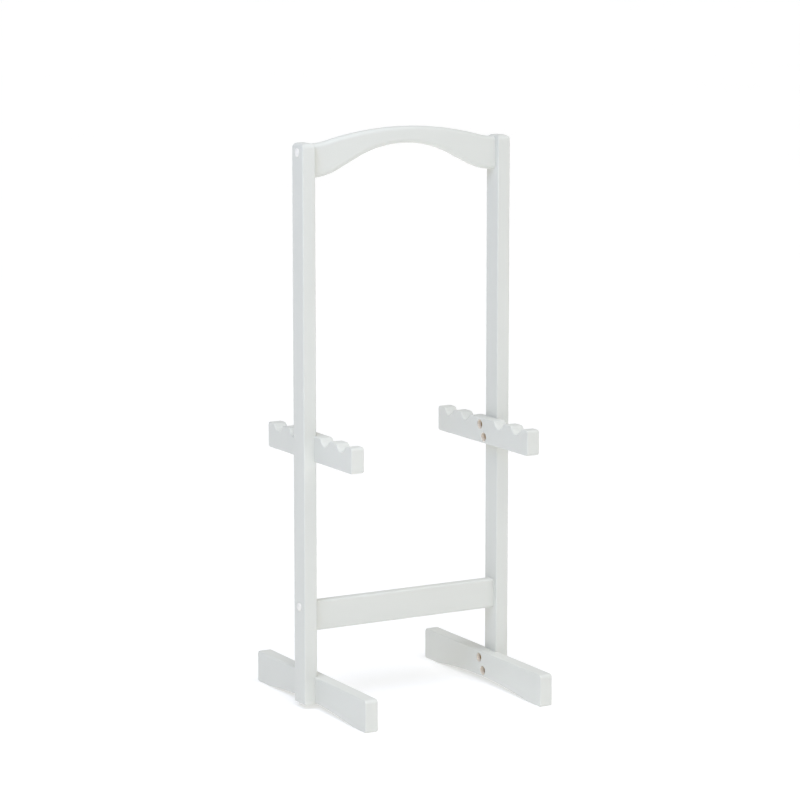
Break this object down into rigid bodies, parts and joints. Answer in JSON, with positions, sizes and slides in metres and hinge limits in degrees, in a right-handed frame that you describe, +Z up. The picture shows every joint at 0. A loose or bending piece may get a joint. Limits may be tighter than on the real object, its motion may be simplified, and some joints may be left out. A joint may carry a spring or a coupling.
{
  "type": "newspaper rack",
  "caption": "Free-standing white wooden newspaper rack: two posts with an arched top rail, a stretcher, arched feet and notched brackets that hold newspaper rods.",
  "frame": {"origin": "on the floor, in the middle of the rack's width and depth", "axes": "+X to the rack's right seen from the front, +Y to its back, +Z up"},
  "size_m": [0.507, 0.492, 1.225],
  "materials": {
    "painted_wood": "satin white paint on solid wood",
    "dowel_wood": "raw beech",
    "zinc_steel": "clear zinc plating",
    "yellow_zinc_steel": "yellow zinc plating",
    "white_plastic": "moulded white plastic"
  },
  "bodies": {
    "root": {"left_post": "painted_wood", "right_post": "painted_wood", "top_rail": "painted_wood", "stretcher": "painted_wood", "left_bracket": "painted_wood", "right_bracket": "painted_wood", "left_foot": "painted_wood", "right_foot": "painted_wood", "left_top_rail_cover_cap": "white_plastic", "left_top_rail_bolt": "zinc_steel", "left_top_rail_barrel_nut": "zinc_steel", "left_top_rail_dowel": "dowel_wood", "right_top_rail_cover_cap": "white_plastic", "right_top_rail_bolt": "zinc_steel", "right_top_rail_barrel_nut": "zinc_steel", "right_top_rail_dowel": "dowel_wood", "left_stretcher_cover_cap": "white_plastic", "left_stretcher_bolt": "zinc_steel", "left_stretcher_barrel_nut": "zinc_steel", "left_stretcher_dowel": "dowel_wood", "right_stretcher_cover_cap": "white_plastic", "right_stretcher_bolt": "zinc_steel", "right_stretcher_barrel_nut": "zinc_steel", "right_stretcher_dowel": "dowel_wood", "left_bracket_upper_screw": "yellow_zinc_steel", "left_bracket_upper_insert": "zinc_steel", "left_bracket_lower_screw": "yellow_zinc_steel", "left_bracket_lower_insert": "zinc_steel", "left_foot_upper_screw": "yellow_zinc_steel", "left_foot_upper_insert": "zinc_steel", "left_foot_lower_screw": "yellow_zinc_steel", "left_foot_lower_insert": "zinc_steel", "right_bracket_upper_screw": "yellow_zinc_steel", "right_bracket_upper_insert": "zinc_steel", "right_bracket_lower_screw": "yellow_zinc_steel", "right_bracket_lower_insert": "zinc_steel", "right_foot_upper_screw": "yellow_zinc_steel", "right_foot_upper_insert": "zinc_steel", "right_foot_lower_screw": "yellow_zinc_steel", "right_foot_lower_insert": "zinc_steel"}
  },
  "joints": []
}
